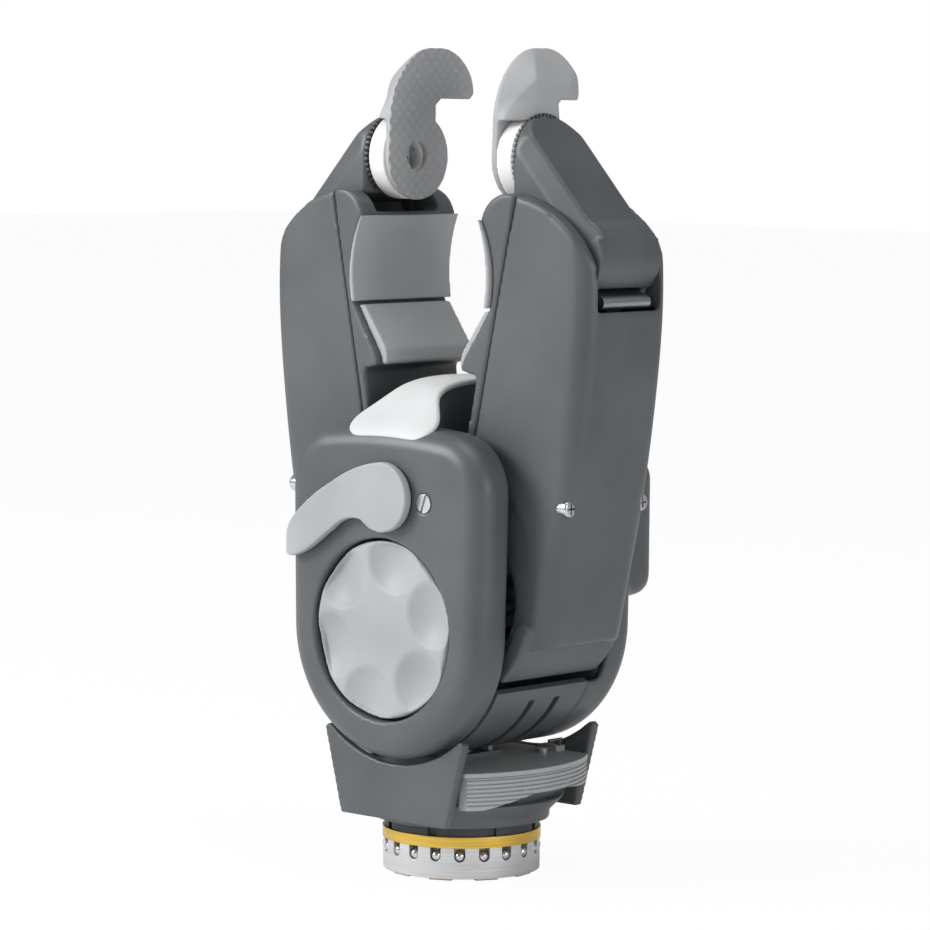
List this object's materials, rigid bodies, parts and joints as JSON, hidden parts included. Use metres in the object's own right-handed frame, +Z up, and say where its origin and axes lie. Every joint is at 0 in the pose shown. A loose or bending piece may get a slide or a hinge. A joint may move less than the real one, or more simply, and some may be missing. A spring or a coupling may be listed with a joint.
{
  "type": "powered prosthetic gripper hand",
  "caption": "Powered prosthetic gripper with opposing geared arms, turnable hooked tips, a hand wheel, a release lever, a lockable flexion wrist and a quick-disconnect ring.",
  "frame": {"origin": "centre of the coupling ring's bottom face", "axes": "+Z up from the wrist to the finger tips, +X the way the right arm opens, -Y the side with the hand wheel and the release lever"},
  "size_m": [0.103, 0.069, 0.1979],
  "materials": {
    "silver_steel": "satin",
    "chrome_ball": "polished",
    "gold_brass": "satin",
    "black_plastic": "matte",
    "light_plastic": "satin",
    "steel_frame": "satin",
    "dark_plastic": "satin",
    "soft_grey": "matte",
    "pale_elastomer": "matte",
    "white_plastic": "satin"
  },
  "bodies": {
    "wrist": {"coupling_ring": "silver_steel", "detent_balls": "chrome_ball", "retaining_ring": "gold_brass", "contact_tabs": "gold_brass", "snap_ring": "silver_steel", "coaxial_plug": "gold_brass", "wrist_collar": "black_plastic", "wrist_bracket": "dark_plastic", "deck_plate": "dark_plastic", "flexion_shoe": "steel_frame", "deck_screws": "silver_steel", "catch_tab": "light_plastic", "catch_wire": "silver_steel"},
    "lock_slide_body": {"lock_slide": "light_plastic"},
    "lock_plunger_body": {"lock_plunger": "silver_steel"},
    "hand": {"chassis": "dark_plastic", "front_cover": "dark_plastic", "rear_cover": "dark_plastic", "drum_shell": "dark_plastic", "palm_support": "dark_plastic", "palm_saddle": "pale_elastomer", "cover_screw": "silver_steel", "motor": "steel_frame", "gearhead": "steel_frame", "circuit_board": "black_plastic", "arm_axles": "silver_steel", "rod_pivot_pins": "silver_steel"},
    "wheel": {"hand_wheel": "light_plastic", "wheel_pinion": "steel_frame"},
    "lever": {"release_lever": "light_plastic"},
    "drive": {"drive_gear": "steel_frame"},
    "right_arm": {"right_arm_outer_shell": "dark_plastic", "right_arm_inner_shell": "dark_plastic", "right_arm_frame": "steel_frame", "right_upper_pad": "soft_grey", "right_lower_pad": "soft_grey", "right_shell_screws": "silver_steel", "right_elbow_pin": "silver_steel"},
    "right_rod": {"right_control_rod": "steel_frame"},
    "right_finger": {"right_phalanx": "dark_plastic", "right_rod_end_pin": "silver_steel", "right_tip_screw": "silver_steel"},
    "right_tip": {"right_tip_hub": "white_plastic", "right_grip_tip": "soft_grey"},
    "left_arm": {"left_arm_outer_shell": "dark_plastic", "left_arm_inner_shell": "dark_plastic", "left_arm_frame": "steel_frame", "left_upper_pad": "soft_grey", "left_lower_pad": "soft_grey", "left_shell_screws": "silver_steel", "left_elbow_pin": "silver_steel"},
    "left_rod": {"left_control_rod": "steel_frame"},
    "left_finger": {"left_phalanx": "dark_plastic", "left_rod_end_pin": "silver_steel", "left_tip_screw": "silver_steel"},
    "left_tip": {"left_tip_hub": "white_plastic", "left_grip_tip": "soft_grey"}
  },
  "joints": [
    {"name": "lock_slide_travel", "type": "slide", "parent": "wrist", "child": "lock_slide_body", "axis": [1, 0, 0], "range_m": [0, 0.0025]},
    {"name": "lock_plunger_travel", "type": "slide", "parent": "wrist", "child": "lock_plunger_body", "axis": [0, 0, 1], "range_m": [-0.001, 0]},
    {"name": "wrist_flexion", "type": "hinge", "parent": "wrist", "child": "hand", "pos_m": [0, 0, 0.06], "axis": [0, 1, 0], "range_deg": [-45, 45]},
    {"name": "right_arm_open", "type": "hinge", "parent": "hand", "child": "right_arm", "pos_m": [0.012, 0, 0.068], "axis": [0, 1, 0], "range_deg": [-11.4, 25]},
    {"name": "left_arm_open", "type": "hinge", "parent": "hand", "child": "left_arm", "pos_m": [-0.012, 0, 0.068], "axis": [0, 1, 0], "range_deg": [-25, 11.4]},
    {"name": "drive_gear_spin", "type": "hinge", "parent": "hand", "child": "drive", "pos_m": [0, 0, 0.04722], "axis": [0, 1, 0], "range_deg": [-25, 11.4]},
    {"name": "hand_wheel_spin", "type": "hinge", "parent": "hand", "child": "wheel", "pos_m": [0, 0, 0.06004], "axis": [0, 1, 0], "range_deg": [-50, 22.8]},
    {"name": "release_lever_turn", "type": "hinge", "parent": "hand", "child": "lever", "pos_m": [0.002, -0.03, 0.0919], "axis": [0, 1, 0], "range_deg": [0, 35]},
    {"name": "right_rod_swing", "type": "hinge", "parent": "hand", "child": "right_rod", "pos_m": [0.0255, 0, 0.061], "axis": [0, 1, 0], "range_deg": [-11.4, 25]},
    {"name": "right_finger_pivot", "type": "hinge", "parent": "right_arm", "child": "right_finger", "pos_m": [0.031, 0, 0.1465], "axis": [0, 1, 0], "range_deg": [-25, 11.4]},
    {"name": "right_tip_turn", "type": "hinge", "parent": "right_finger", "child": "right_tip", "pos_m": [0.02, 0, 0.1714], "axis": [1, 0, 0], "range_deg": [-60, 60]},
    {"name": "left_rod_swing", "type": "hinge", "parent": "hand", "child": "left_rod", "pos_m": [-0.0255, 0, 0.061], "axis": [0, 1, 0], "range_deg": [-25, 11.4]},
    {"name": "left_finger_pivot", "type": "hinge", "parent": "left_arm", "child": "left_finger", "pos_m": [-0.031, 0, 0.1465], "axis": [0, 1, 0], "range_deg": [-11.4, 25]},
    {"name": "left_tip_turn", "type": "hinge", "parent": "left_finger", "child": "left_tip", "pos_m": [-0.02, 0, 0.1714], "axis": [1, 0, 0], "range_deg": [-60, 60]}
  ],
  "couplings": [
    {"joint": "lock_plunger_travel", "follows": "lock_slide_travel", "ratio": -0.4},
    {"joint": "left_arm_open", "follows": "right_arm_open", "ratio": -1},
    {"joint": "drive_gear_spin", "follows": "right_arm_open", "ratio": -1},
    {"joint": "hand_wheel_spin", "follows": "right_arm_open", "ratio": -2},
    {"joint": "right_rod_swing", "follows": "right_arm_open", "ratio": 1},
    {"joint": "left_rod_swing", "follows": "right_arm_open", "ratio": -1},
    {"joint": "right_finger_pivot", "follows": "right_arm_open", "ratio": -1},
    {"joint": "left_finger_pivot", "follows": "right_arm_open", "ratio": 1}
  ]
}
